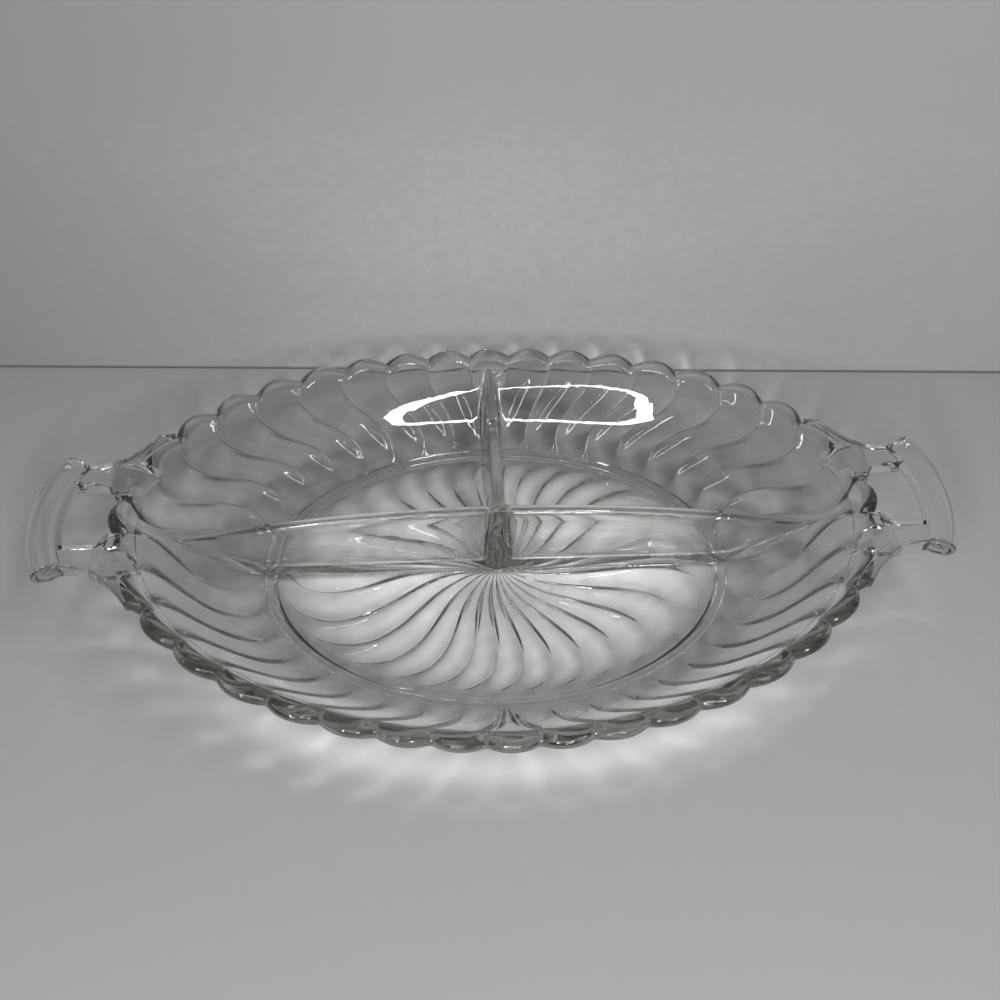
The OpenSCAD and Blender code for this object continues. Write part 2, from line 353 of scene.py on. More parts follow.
def petal_loop(s):
    """Loop of points under the floor at share s of the way from the hub to the petals' tips."""
    a = FOOT_A - FOOT_BAND - PETAL_MARGIN
    b = FOOT_B - FOOT_BAND - PETAL_MARGIN
    end = max(0, (s - PETAL_END) / (1 - PETAL_END))
    width = math.sqrt(max(0, 1 - end**2))
    c = (np.arange(PETALS)[:, None] + columns(width)[None, :]).ravel()
    q = 1 - s
    swirl = SWIRL[0] * q + SWIRL[1] * q**2 + SWIRL[2] * q**3
    phi = PETAL_TURN - 90 + 360 * c / PETALS + swirl
    r = s * a * b / np.hypot(b * cosd(phi), a * sind(phi))
    heart = min(1, (s - HUB) / HEART)
    lobe = width * np.tile(FACE, PETALS)
    z = FOOT_H + CREASE_SUNK * (1 - end**2) - PETAL_DEPTH * heart * lobe
    return np.stack([r * cosd(phi), r * sind(phi), z], 1)


def ring_loop(far_in, z, t):
    a, b = FOOT_A - far_in, FOOT_B - far_in
    return np.stack([a * sind(t), b * cosd(t), np.full_like(t, z)], 1)


# Section of the foot ring: how far in from its edge, and the height
RING_SECTION = (
    (4.8, FOOT_H), (4.2, 1.9), (3.5, 0.9), (2.9, 0.25), (2.3, 0), (1.3, 0),
    (0.6, 0.25), (0.2, 0.8), (0, 1.5),
)


def divider_section(height, taper, fillet):
    """Half of a divider's section at one place: offsets and heights of its lines, top first.

    The taper is 1, and falls to 0 at the divider's end, where its top and its fillet are thin.
    """
    top = TOP_HALF * lerp(THIN_TOP, 1, taper)
    fillet *= lerp(THIN_FILLET, 1, taper)
    squat = min(1, height / (top + fillet + SQUAT_SPARE))
    arc = np.radians(np.linspace(0, TOP_ARC, 6))
    offsets = [top * np.sin(arc) / math.sin(math.radians(TOP_ARC))]
    heights = [height - top * squat * (1 - np.cos(arc))]
    base = top + DRAFT * max(0, height - top - fillet)
    share = np.linspace(0, 1, 8)[1:]
    offsets.append(lerp(top, base, share))
    heights.append(lerp(heights[0][-1], fillet * squat, share))
    arc = np.radians(np.linspace(0, 90, 7)[1:])
    offsets.append(base + fillet * (1 - np.cos(arc)))
    heights.append(fillet * squat * (1 - np.sin(arc)))
    return np.concatenate(offsets), np.concatenate(heights)


LAST_LINE = len(divider_section(DIVIDER_H, 1, FILLET)[0]) - 1


def divider_tables(reach, drop, base, wall_fillet):
    """Places along a divider, with its lines' offsets and heights over the ground at each."""
    place = np.linspace(0, reach * TABLE_REACH, TABLE_PLACES)
    height = DIVIDER_H - drop * (place / reach) ** 2 - base(place)
    # Fades out softly where it would go under the ground
    height = (height + np.sqrt(height * height + SINK_SOFT**2)) / 2
    rows = []
    for p, h in zip(place, height):
        fillet = FILLET + wall_fillet * min(1, p / reach) ** 3
        rows.append(divider_section(h, eased((reach + PAST_END - p) / END_TAPER), fillet))
    return place, np.array([row[0] for row in rows]), np.array([row[1] for row in rows])


def sampled(place, table, at, line):
    """Values of a table's line at places along a divider."""
    at = np.clip(at, 0, place[-1])
    f = at / place[-1] * (len(place) - 1)
    i = np.minimum(f.astype(int), len(place) - 2)
    f = f - i
    return table[i, line] * (1 - f) + table[i + 1, line] * f


def grid_lines(count, extent, foot):
    """Numbers of a grid's lines, each one's count from the middle, and how far out it would run.

    The lines in the middle follow a divider's section, and have 0 here. The others start at its
    foot and run out to the extent.
    """
    most = LAST_LINE + count
    number = np.arange(-most, most + 1)
    size = np.abs(number)
    share = np.clip((size - LAST_LINE) / count, 0, 1) ** GRID_GROWTH
    return number, size, np.where(size > LAST_LINE, lerp(foot, extent, share), 0.0)


def on_edge(out, extent):
    """Where lines meet the grid's oval edge: those near the middle run straight to it."""
    past = np.maximum(out - GRID_STRAIGHT, 0) / (extent - GRID_STRAIGHT)
    return np.minimum(out, GRID_STRAIGHT) + past * (DIAGONAL * extent - GRID_STRAIGHT)


def topside():
    """Grid of points over the floor, the dividers and the inner wall, and its edge's half axes."""
    a = lerp(FOOT_A - HEEL_IN, RIM_A - EDGE_T, way_out(JOIN))
    b = lerp(FOOT_B - HEEL_IN, RIM_B - EDGE_T, way_out(JOIN))
    long_place, long_out, long_up = divider_tables(
        LONG_REACH, LONG_DROP, lambda p: ground(p, 0 * p), 0)
    cross_place, cross_out, cross_up = divider_tables(
        CROSS_REACH, CROSS_DROP, lambda p: ground(0 * p, p), WALL_FILLET)
    foot = long_out[0, LAST_LINE]
    x_number, x_size, x_plain = (v[:, None] for v in grid_lines(GRID_LINES_X, a, foot))
    y_number, y_size, y_plain = (v[None, :] for v in grid_lines(GRID_LINES_Y, b, foot))
    x_edge, y_edge = on_edge(x_plain, a), on_edge(y_plain, b)
    x_line, y_line = np.minimum(x_size, LAST_LINE), np.minimum(y_size, LAST_LINE)
    in_cross, in_long = x_size <= LAST_LINE, y_size <= LAST_LINE
    rear = y_number >= 0

    def drift(foot_here, out):
        """How far a divider's foot pushes the lines beside it."""
        return (foot_here - foot) * np.exp(-np.maximum(out - foot, 0) / GRID_DRIFT)

    def bend_in(across, extent):
        """Share of the way from a line's middle place to its place on the edge."""
        return (1 - np.sqrt(1 - np.clip(across / extent, 0, 1) ** 2)) / (1 - DIAGONAL)

    x = np.sign(x_number) * np.maximum(x_plain, foot * x_size / LAST_LINE) + 0 * y_number
    y = np.sign(y_number) * np.maximum(y_plain, foot * y_size / LAST_LINE) + 0 * x_number
    for _ in range(GRID_ROUNDS):
        long_here = sampled(long_place, long_out, np.abs(x), y_line)
        long_foot = sampled(long_place, long_out, np.abs(x), LAST_LINE)
        along = np.where(rear, np.abs(y), 0)
        cross_here = sampled(cross_place, cross_out, along, x_line)
        cross_foot = sampled(cross_place, cross_out, along, LAST_LINE)
        x_mid = np.where(in_cross, cross_here, x_plain + drift(cross_foot, x_plain))
        y_mid = np.where(in_long, long_here, y_plain + drift(long_foot, y_plain))
        x_rear = np.where(in_cross, cross_here[:, -1:], x_edge + drift(cross_foot[:, -1:], x_plain))
        x_end = np.where(rear, x_rear, np.where(in_cross, cross_here[:, :1], x_edge))
        y_end = np.where(in_long, long_here[-1:, :], y_edge + drift(long_foot[-1:, :], y_plain))
        x_new = x_mid + (np.where(in_cross, x_mid, x_edge) - x_mid) * bend_in(y_end, b)
        y_new = y_mid + (np.where(in_long, y_mid, y_edge) - y_mid) * bend_in(x_end, a)
        x, y = np.sign(x_number) * x_new, np.sign(y_number) * y_new
    # Round the upright corners where the dividers meet
    near = np.clip(1 - np.abs(np.abs(x) - np.abs(y)) / CORNER, 0, 1)
    ramp = np.clip(np.abs(x) / TOP_HALF, 0, 1) * np.clip(np.abs(y) / TOP_HALF, 0, 1)
    shift = np.where(rear, CORNER / 4 * near**2 * ramp, 0)
    long_height = np.where(in_long, sampled(long_place, long_up, np.abs(x), y_line), 0)
    cross_height = np.where(in_cross & rear, sampled(cross_place, cross_up, np.abs(y), x_line), 0)
    x = x + np.sign(x_number) * shift
    y = y + shift
    z = ground(x, y) + smooth_max(long_height, cross_height, CROSSING_SOFT)
    return np.stack([x, y, z], 2), a, b


def grid_faces(index):
    """Quads over a grid of point numbers."""
    quads = np.stack([index[:-1, :-1], index[1:, :-1], index[1:, 1:], index[:-1, 1:]], 2)
    return quads.reshape(-1, 4).tolist()


def add_underside(shell):
    """Adds the hub, petals, plain margin and foot ring, and gives the ring's last row."""
    round_end = np.sin(np.radians(np.linspace(0, 90, ROUND_END_ROWS)))
    shares = np.append(np.linspace(HUB, PETAL_END, PETAL_ROWS)[:-1], lerp(PETAL_END, 1, round_end))
    petals = shell.stack([petal_loop(s) for s in shares])
    shell.cap(petals[0], [0, 0, FOOT_H + CREASE_SUNK])
    t = wall_angles(0)
    ring = shell.stack([ring_loop(far_in, z, t) for far_in, z in RING_SECTION])
    tips, angles = from_rear(petals[-1][::-1], petal_loop(1.0)[::-1], FOOT_A, FOOT_B)
    shell.stitch(tips, ring[0], angles, t)
    return ring[-1]


def add_wall(shell, foot):
    """Adds the fluted outside and the rim, and gives the last row inside it."""
    round_end = 1 - np.cos(np.radians(np.linspace(0, 90, ROUND_END_ROWS)))
    shares = np.append(TONGUE * round_end, np.linspace(TONGUE, 1, WALL_ROWS)[1:])
    wall = shell.stack([outer_loop(v) for v in shares])
    shell.band(foot, wall[0])
    outside, inside = outer_loop(1.0), inner_loop(1.0, 1.0)
    out = outside - inside
    out[:, 2] = 0
    out /= np.linalg.norm(out, axis=1)[:, None]
    height = EDGE_CROWN * (out * CROWN_LEAN + np.array([0, 0, 1.0]))
    crown = []
    for turn in np.radians(np.linspace(180, 0, CROWN_STEPS + 1)[1:-1]):
        crown.append(lerp(inside, outside, (1 - math.cos(turn)) / 2) + height * math.sin(turn))
    rim = shell.stack(crown + [inside])
    shell.band(wall[-1], rim[0])
    below = [inner_loop(lerp(JOIN, 1, s) + JOIN_GAP * (1 - s), s) for s in (0.66, 0.33, 0.0)]
    inner = shell.stack(below)
    shell.band(rim[-1], inner[0])
    return inner[-1]


def tray_shell():
    """The pressed tray without its handles, as one closed skin."""
    shell = Shell()
    rim = add_wall(shell, add_underside(shell))
    grid, a, b = topside()
    index = shell.add(grid).reshape(grid.shape[:2])
    shell.faces += grid_faces(index)
    edge = np.concatenate([index[:-1, -1], index[-1, :0:-1], index[:0:-1, 0], index[0, :-1]])
    edge, angles = from_rear(edge, np.concatenate(shell.points)[edge], a, b)
    shell.stitch(edge, rim, angles, wall_angles(JOIN))
    return shell


# Grips: bowed oval bars, whose ends have a soft edge, a flat lip and a shallow dish in it
GRIP_W = 9.4
GRIP_T = 6.9
GRIP_HALF = 19.7
GRIP_EDGES = 40
GRIP_PLACES = 34
GRIP_SOFT = 0.7
GRIP_LIP = 1.1
GRIP_DISH = 0.9
DISH_SLOPE = 0.6
BOW_R = 43.0
BOW_X = corner("right_grip", 1, 0) - GRIP_W / 2 - BOW_R
GRIP_Z = corner("right_grip", 1, 2) - GRIP_T / 2

# Arms: they climb from the rim to the grips, and flare over the scallops at both sides
ARM_LOW = corner("right_rear_arm", 0, 2)
ARM_HIGH = corner("right_rear_arm", 1, 2)
ARM_IN = 11.2
ARM_OUT = 18.6
ARM_RISE = 1.5
ARM_SOFT = 0.5
GRIP_BITE = 0.5
FLARE = 12.0
FLARE_OUT = 0.7
FLARE_NEAR = 0.35
FLARE_LIP = 0.2
FACET_X = 105.6
FACET_Y = (ARM_IN - 1, ARM_OUT + 2)


def swept(loops):
    """A closed shell of loops in a row, with a point in the middle of each end."""
    shell = Shell()
    rows = shell.stack(loops)
    for row, loop in ((rows[0], loops[0]), (rows[-1], loops[-1])):
        shell.cap(row, np.mean(loop, 0))
    return shell


def rounding(radius):
    """Steps of a rounded edge: how far each lies under one face, and under the other."""
    turns = np.radians(np.linspace(0, 90, 5))
    return [(radius * (1 - math.sin(turn)), radius * (1 - math.cos(turn))) for turn in turns]


def grip():
    """The right grip."""
    turn = np.radians(np.arange(0, 360, 360 // GRIP_EDGES))
    reach = math.asin(GRIP_HALF / BOW_R)
    ends = [(reach - back / BOW_R, far_in) for back, far_in in rounding(GRIP_SOFT)]
    ends += [(reach, GRIP_LIP), (reach - GRIP_DISH / BOW_R, GRIP_LIP + DISH_SLOPE)]
    places = [(-w, far_in) for w, far_in in reversed(ends)]
    places += [(w, 0.0) for w in np.linspace(-ends[0][0], ends[0][0], GRIP_PLACES)[1:-1]]
    places += ends
    loops = []
    for w, far_in in places:
        r = BOW_R + (GRIP_W / 2 - far_in) * np.cos(turn)
        z = GRIP_Z + (GRIP_T / 2 - far_in) * np.sin(turn)
        loops.append(np.stack([BOW_X + r * math.cos(w), r * math.sin(w), z], 1))
    return swept(loops).object("grip")


def bend(p, q, r):
    """Points of a smooth bend from p to r, drawn towards q."""
    p, q, r = (np.array(c, float) for c in (p, q, r))
    return [lerp(lerp(p, q, s), lerp(q, r, s), s) for s in np.linspace(0, 1, 10)]


def drawn_in(outline, by):
    """A closed outline drawn in by a distance."""
    along = np.roll(outline, -1, 0) - np.roll(outline, 1, 0)
    along /= np.linalg.norm(along, axis=1)[:, None]
    return outline + by * np.stack([-along[:, 1], along[:, 0]], 1)


def arm_top(x):
    """Height of an arm's top: level over the rim, then climbing to the grip."""
    climb = np.clip((x - RIM_A) / (BOW_X + BOW_R - RIM_A), 0, 1)
    return ARM_HIGH - ARM_RISE * (1 - climb)


def arm():
    """The right arm behind the long axis. It blends into the scallops at both sides."""
    a, b = RIM_A + CREST_OUT + FLARE_LIP, RIM_B + CREST_OUT + FLARE_LIP
    far, near = ARM_OUT + FLARE, ARM_IN - FLARE_NEAR * FLARE

    def lip(y):
        """Where the flare runs out over the scallops."""
        return [a * math.sqrt(1 - (y / b) ** 2), y]

    def blend(side, end):
        """Points of the flare from the arm's side to the scallops."""
        tangents_meet = [(1 - side * end / b**2) * a * a / lip(end)[0], side]
        return bend([RIM_A + FLARE_OUT * FLARE, side], tangents_meet, lip(end))

    bow = BOW_R - GRIP_BITE * GRIP_W / 2
    outline = [[BOW_X + math.sqrt(bow**2 - y * y), y] for y in np.linspace(ARM_IN, ARM_OUT, 5)]
    outline += blend(ARM_OUT, far)
    outline += [[lip(far)[0] - EDGE_T, far], [FACET_X, FACET_Y[1]]]
    outline += [[FACET_X, FACET_Y[0]], [lip(near)[0] - EDGE_T, near]]
    outline = np.array(outline + blend(ARM_IN, near)[::-1])
    loops = []
    for by, up in rounding(ARM_SOFT):
        at = drawn_in(outline, by)
        loops.append(np.column_stack([at, np.full(len(at), ARM_LOW + up)]))
    for by, down in reversed(rounding(ARM_SOFT)):
        at = drawn_in(outline, by)
        loops.append(np.column_stack([at, arm_top(at[:, 0]) - down]))
    return swept(loops).object("arm")


# Corners of the sloped wedge that an arm ends in: its level facet, then its toes on the wall
FACET = ((110.5, 10.6), (105.9, 10.0), (105.6, 15.4), (104.2, 19.5), (106.7, 20.6), (110.5, 19.5))
TOES = ((103.3, 10.9, 33.6), (99.6, 18.5, 32.2))
WEDGE_DEEP = (3.0, 0, -4.5)


def wedge():
    """The small sloped wedge from an arm's facet down to the rim's inner edge."""
    level = ARM_HIGH - ARM_RISE
    top = [Vector((x, y, level)) for x, y in FACET] + [Vector(toe) for toe in TOES]
    mesh = bpy.data.meshes.new("wedge")
    work = bmesh.new()
    for p in top + [p + Vector(WEDGE_DEEP) for p in top]:
        work.verts.new(p * MM)
    bmesh.ops.convex_hull(work, input=work.verts)
    work.to_mesh(mesh)
    work.free()
    return finished("wedge", mesh)


def flipped(obj, x, y):
    """A copy of an object mirrored in X or Y."""
    mesh = obj.data.copy()
    mesh.transform(Matrix.Diagonal((x, y, 1, 1)))
    return finished(obj.name, mesh)


def joined_in(tray, parts):
    """The tray with other solids fused into its glass."""
    for part in parts:
        fuse = tray.modifiers.new("fuse", "BOOLEAN")
        fuse.operation = "UNION"
        fuse.solver = "MANIFOLD"
        fuse.object = part
        bpy.context.view_layer.update()
        deps = bpy.context.evaluated_depsgraph_get()
        mesh = bpy.data.meshes.new_from_object(tray.evaluated_get(deps))
        tray.modifiers.clear()
        tray.data = mesh
    for part in parts:
        bpy.data.objects.remove(part)
    return tray


def handle_parts():
    """Both grips, and the four arms with their wedges."""
    parts = []
    for build in (grip, arm, wedge):
        first = build()
        parts.append(first)
        parts.append(flipped(first, -1, 1))
        if build is not grip:
            parts.append(flipped(first, 1, -1))
            parts.append(flipped(first, -1, -1))
    return parts


class Wire:
    """A socket in a node tree. A wire times another wire or a number adds a Math node."""

    def __init__(self, tree, socket=None):
        self.tree = tree
        self.socket = socket

    def node(self, kind, settings=None, inputs=None, output=0):
        """Adds a node of a kind with its settings, then its sockets' values or links."""
        made = self.tree.nodes.new(kind)
        for name, value in (settings or {}).items():
            setattr(made, name, value)
        for name, value in (inputs or {}).items():
            if isinstance(value, Wire):
                self.tree.links.new(value.socket, made.inputs[name])
            else:
                made.inputs[name].default_value = value
        if output is None:
            return {socket.name: Wire(self.tree, socket) for socket in made.outputs if socket.enabled}
        return Wire(self.tree, made.outputs[output] if made.outputs else None)

    def __mul__(self, other):
        return self.node("ShaderNodeMath", {"operation": "MULTIPLY"}, {0: self, 1: other})

    __rmul__ = __mul__


def material(name):
    """A new material and a wire on its empty node tree."""
    made = bpy.data.materials.new(name)
    made.use_nodes = True
    made.node_tree.nodes.clear()
    return made, Wire(made.node_tree)


def noise(wire, scale):
    at = wire.node("ShaderNodeTexCoord", output="Object")
    return wire.node("ShaderNodeTexNoise", None, {"Vector": at, "Scale": scale})


# Glass: its body colour deepens with its density, and a faint ripple and haze lie on its skin
GLASS_IOR = 1.52
GLASS_TINT = (0.99, 0.99, 0.99, 1)
GLASS_DEPTH_TINT = (0.615, 0.65, 0.585, 1)
GLASS_DENSITY = 26.0
RIPPLE_SCALE = 260.0
RIPPLE_HEIGHT = 0.00006
RIPPLE_STRENGTH = 0.35
HAZE_SCALE = 90.0
HAZE = 0.012


def clear_glass():
    """Fire-polished pressed glass with a slight grey-green body."""
    made, wire = material("clear_glass")
    ripple = wire.node("ShaderNodeBump", None, {
        "Strength": RIPPLE_STRENGTH, "Distance": RIPPLE_HEIGHT, "Height": noise(wire, RIPPLE_SCALE),
    })
    glass = wire.node("ShaderNodeBsdfPrincipled", None, {
        "Base Color": GLASS_TINT, "Roughness": noise(wire, HAZE_SCALE) * HAZE, "IOR": GLASS_IOR,
        "Transmission Weight": 1.0, "Normal": ripple,
    })
    body = wire.node("ShaderNodeVolumeAbsorption", None, {
        "Color": GLASS_DEPTH_TINT, "Density": GLASS_DENSITY,
    })
    wire.node("ShaderNodeOutputMaterial", None, {"Surface": glass, "Volume": body})
    return made


# Lamp: a rounded frame of strips. Each point has its place and the strip's width there, as shares
# of the lamp's height above the table
LAMP_H = 0.448
LAMP_PATH = (
    (0.435, -0.90, 0.06), (0.435, -1.02, 0.10), (0.39, -1.27, 0.09), (0.24, -1.54, 0.06),
    (-0.03, -1.66, 0.04), (-0.32, -1.76, 0.05), (-0.58, -1.83, 0.08), (-0.75, -1.67, 0.10),
    (-0.77, -1.40, 0.10), (-0.63, -1.05, 0.09), (-0.53, -0.80, 0.06), (-0.37, -0.70, 0.04),
    (-0.12, -0.72, 0.04), (0.12, -0.72, 0.04), (0.35, -0.74, 0.045),
)
LAMP_GLOW = 33.0
# The ceiling's soft panel, in metres
PANEL_AT = (0.3, -0.2, 0.8)
PANEL_HALF = 0.15
PANEL_GLOW = 7.0


def light_strips():
    """Start, end, width and glow of each strip of the frame lamp, and of the panel over it."""
    spots = [(Vector((x, y, 1)) * LAMP_H, width * LAMP_H) for x, y, width in LAMP_PATH]
    strips = []
    for (start, width), (stop, next_width) in zip(spots, spots[1:] + spots[:1]):
        strips.append((start, stop, (width + next_width) / 2, LAMP_GLOW))
    middle, half = Vector(PANEL_AT), Vector((PANEL_HALF, 0, 0))
    return strips + [(middle - half, middle + half, 2 * PANEL_HALF, PANEL_GLOW)]


def lights():
    for i, (start, stop, width, glow) in enumerate(light_strips()):
        run = stop - start
        light = bpy.data.lights.new(f"lamp_{i}", "AREA")
        light.shape = "RECTANGLE"
        light.size = run.length
        light.size_y = width
        light.energy = glow * math.pi * light.size * light.size_y
        obj = bpy.data.objects.new(f"lamp_{i}", light)
        x, up = run.normalized(), Vector((0, 0, 1))
        facing = Matrix((x, up.cross(x), up)).transposed().to_4x4()
        obj.matrix_world = Matrix.Translation((start + stop) / 2) @ facing
        # The ceiling's light is too soft to be mirrored in the glass
        obj.visible_glossy = obj.visible_transmission = glow == LAMP_GLOW
        bpy.context.scene.collection.objects.link(obj)


# Floor and backdrop, in metres. The lines of a board's rims lie outside its fine patch
FLOOR_TONE = (0.38, 0.38, 0.38, 1)
BACKDROP_TONE = (0.5, 0.5, 0.505, 1)
FLOOR_RIMS = (((-1.2, -0.5), (0.5, 1.2)), ((-0.9, -0.35), (0.2, 0.8)))
BACKDROP_RIMS = (((-0.6,), (0.6,)), ((0.0,), (1.0,)))
BACKDROP_Y = 0.0943
BACKDROP_TURN = math.radians(-2.23)
# Light at the floor's far edges and in the fold between the boards, as shares
FAR_LIGHT = 0.15
FOLD_LIGHT = 0.3
# The backdrop's light falls off to the left: by how much per metre, from where, and the least
BACKDROP_DIM = 1.5
BACKDROP_DIM_FROM = -0.02
BACKDROP_DIM_LEAST = 0.6

# Light that reaches the boards through the glass: fine cells on patches of them, and rays from the
# lights to a plate halfway up the tray, BEAM_X and BEAM_Y to each side of its middle. The glass
# turns a ray at most TURNS times, and by its flat normal where the smooth one faces away
CELL = 0.001
PATCH_X = (-0.21, 0.21)
PATCH_Y = (-0.13, 0.105)
PATCH_Z = (0.0, 0.12)
FADE = 0.03
BEAM_X = 0.16
BEAM_Y = 0.115
BEAM_Z = 0.018
RAYS = 6_000_000
RAYS_AT_ONCE = 500_000
RAY_START = 0.00001
TURNS = 9
GLANCING = -0.02
LAMP_SPOTS = 160
BLUR = 0.7

# Touches on the floor's light. Distances from its middle are shares of the rim's, and
# GATHER gives the gain at each
GATHER = ((0, 1.5), (0.3, 1.8), (0.5, 1.55), (0.62, 0.85), (0.9, 0.82), (1.05, 0.9), (1.2, 1))
REAR_SHADE = 0.16
REAR_FROM = 0.3
REAR_END = 1.35
REAR_SOFT = 0.2
FRONT_FULL = 0.4
SPILL_FROM = 0.75
SPILL_SOFT = 0.05
SPILL_PULL = 0.85
SPILL_GAIN = 1.6
SPILL_SHADE = 0.35
# Glow in front of the tray: its strength, distance and half width, where it starts and grows
GLOW = 0.75
GLOW_AT = 0.91
GLOW_HALF = 0.075
GLOW_FROM = 0.45
GLOW_SOFT = 0.35
GATHER_BLUR = 0.8


class Caster:
    """Casts many rays at once at the tray, and finds where they hit and the normals there."""

    FOUND = {"place": "Hit Position", "flat": "Hit Normal", "smooth": "Attribute"}

    def __init__(self, target):
        corners = np.empty(len(target.data.loops) * 3, np.float32)
        target.data.corner_normals.foreach_get("vector", corners)
        facing = target.data.attributes.new("facing", "FLOAT_VECTOR", "CORNER")
        facing.data.foreach_set("vector", corners)
        self.target = target
        group = bpy.data.node_groups.new("ray_cast", "GeometryNodeTree")
        for way in ("INPUT", "OUTPUT"):
            group.interface.new_socket("Geometry", in_out=way, socket_type="NodeSocketGeometry")
        wire = Wire(group)
        rays = wire.node("NodeGroupInput")
        glass = wire.node("GeometryNodeObjectInfo", None, {"Object": target}, output="Geometry")
        vectors = {"data_type": "FLOAT_VECTOR"}
        aim = wire.node("GeometryNodeInputNamedAttribute", vectors, {"Name": "aim"})
        facing = wire.node("GeometryNodeInputNamedAttribute", vectors, {"Name": "facing"})
        cast = wire.node("GeometryNodeRaycast", vectors, {
            "Target Geometry": glass, "Attribute": facing, "Ray Direction": aim, "Ray Length": 1.5,
        }, output=None)
        # What each ray finds is captured first, as it starts, and then stored by name
        keep = group.nodes.new("GeometryNodeCaptureAttribute")
        for name, output in self.FOUND.items():
            keep.capture_items.new("VECTOR", name)
            group.links.new(cast[output].socket, keep.inputs[name])
        group.links.new(rays.socket, keep.inputs["Geometry"])
        rays = Wire(group, keep.outputs["Geometry"])
        for name in self.FOUND:
            value = Wire(group, keep.outputs[name])
            rays = wire.node("GeometryNodeStoreNamedAttribute", vectors, {
                "Geometry": rays, "Name": name, "Value": value,
            })
        wire.node("NodeGroupOutput", None, {"Geometry": rays})
        self.group = group

    def close(self):
        """Takes the caster's own data off the target."""
        self.target.data.attributes.remove(self.target.data.attributes["facing"])
        bpy.data.node_groups.remove(self.group)

    def cast(self, start, aim):
        """Whether rays hit the glass, where, and its flat and smooth normals there."""
        mesh = bpy.data.meshes.new("rays")
        mesh.vertices.add(len(start))
        mesh.vertices.foreach_set("co", start.astype(np.float32).ravel())
        aims = mesh.attributes.new("aim", "FLOAT_VECTOR", "POINT")
        aims.data.foreach_set("vector", aim.astype(np.float32).ravel())
        obj = bpy.data.objects.new("rays", mesh)
        bpy.context.scene.collection.objects.link(obj)
        obj.modifiers.new("cast", "NODES").node_group = self.group
        bpy.context.view_layer.update()
        done = obj.evaluated_get(bpy.context.evaluated_depsgraph_get()).data
        found = []
        for name in self.FOUND:
            values = np.zeros(len(start) * 3, np.float32)
            if name in done.attributes:
                done.attributes[name].data.foreach_get("vector", values)
            found.append(values.reshape(-1, 3).astype(float))
        bpy.data.objects.remove(obj)
        bpy.data.meshes.remove(mesh)
        place, flat, smooth = found
        return np.any(flat != 0, 1), place, flat, smooth


def dot(p, q):
    return np.einsum("ij,ij->i", p, q)


def turned(aim, flat, smooth, chance):
    """Directions after the glass has bent or mirrored rays where they met it."""
    entering = dot(flat, aim) < 0
    side = np.where(entering, 1, -1)[:, None]
    flat, normal = flat * side, smooth * side
    normal /= np.maximum(np.linalg.norm(normal, axis=1), 1e-9)[:, None]
    normal = np.where((dot(normal, aim) > GLANCING)[:, None], flat, normal)
    cos_in = np.clip(-dot(normal, aim), 0, 1)
    ratio = np.where(entering, 1 / GLASS_IOR, GLASS_IOR)
    passing = 1 - ratio**2 * (1 - cos_in**2)
    cos_out = np.sqrt(np.maximum(passing, 0))
    # Fresnel's shares of light that is mirrored, for its two polarisations
    across = (ratio * cos_out - cos_in) / (ratio * cos_out + cos_in + 1e-9)
    along = (ratio * cos_in - cos_out) / (ratio * cos_in + cos_out + 1e-9)
    mirrored = (passing < 0) | (chance < (across**2 + along**2) / 2)
    bent = ratio[:, None] * aim + (ratio * cos_in - cos_out)[:, None] * normal
    back = aim + 2 * cos_in[:, None] * normal
    new = np.where(mirrored[:, None], back, bent)
    return new / np.linalg.norm(new, axis=1)[:, None]


def spread(count, first, dimensions):
    """Evenly spread values from 0 to 1 in some dimensions: a low-discrepancy sequence."""
    g = 2.0
    for _ in range(40):
        g = (1 + g) ** (1 / (dimensions + 1))
    steps = (1 / g) ** np.arange(1, dimensions + 1)
    return (0.5 + steps[None, :] * (first + np.arange(count))[:, None]) % 1


class Patch:
    """A fine grid of cells on a board that counts the light that reaches it."""

    def __init__(self, origin, across, up, spans):
        self.origin, self.across, self.up = (np.array(v, float) for v in (origin, across, up))
        self.facing = np.cross(self.across, self.up)
        self.upright = self.up[2] > 0
        self.low = np.array([spans[0][0], spans[1][0]])
        self.shape = tuple(round((b - a) / CELL) for a, b in spans)
        self.gain = np.zeros(self.shape)

    def meet(self, start, aim):
        """How far along their aim rays meet the board, and where on its grid."""
        toward = aim @ self.facing
        far = (self.origin - start) @ self.facing / np.minimum(toward, -1e-6)
        far = np.where(toward < -1e-6, far, np.inf)
        at = start + np.where(np.isfinite(far), far, 0)[:, None] * aim - self.origin
        return far, np.stack([at @ self.across, at @ self.up], 1)

    def add(self, at, weight):
        cell = np.floor((at - self.low) / CELL)
        ok = np.all((cell >= 0) & (cell < self.shape), 1)
        cell = cell[ok].astype(int)
        count = np.bincount(cell[:, 0] * self.shape[1] + cell[:, 1], weight[ok], self.gain.size)
        self.gain += count.reshape(self.shape)

    def fade(self):
        """From 1 on most of the patch to 0 at its two sides, and at the top of an upright one."""
        side, height = (np.arange(n) * CELL for n in self.shape)
        fade = np.ones(self.shape) * np.minimum(np.minimum(side, side[::-1]) / FADE, 1)[:, None]
        if self.upright:
            fade *= np.minimum(height[::-1] / FADE, 1)[None, :]
        return fade

    def rows(self):
        """Middles of the cells along the patch and across it."""
        return [low + CELL * (np.arange(n) + 0.5) for low, n in zip(self.low, self.shape)]

    def places(self, u, v):
        """Points in space for places on the board."""
        return self.origin + u[:, None, None] * self.across + v[None, :, None] * self.up


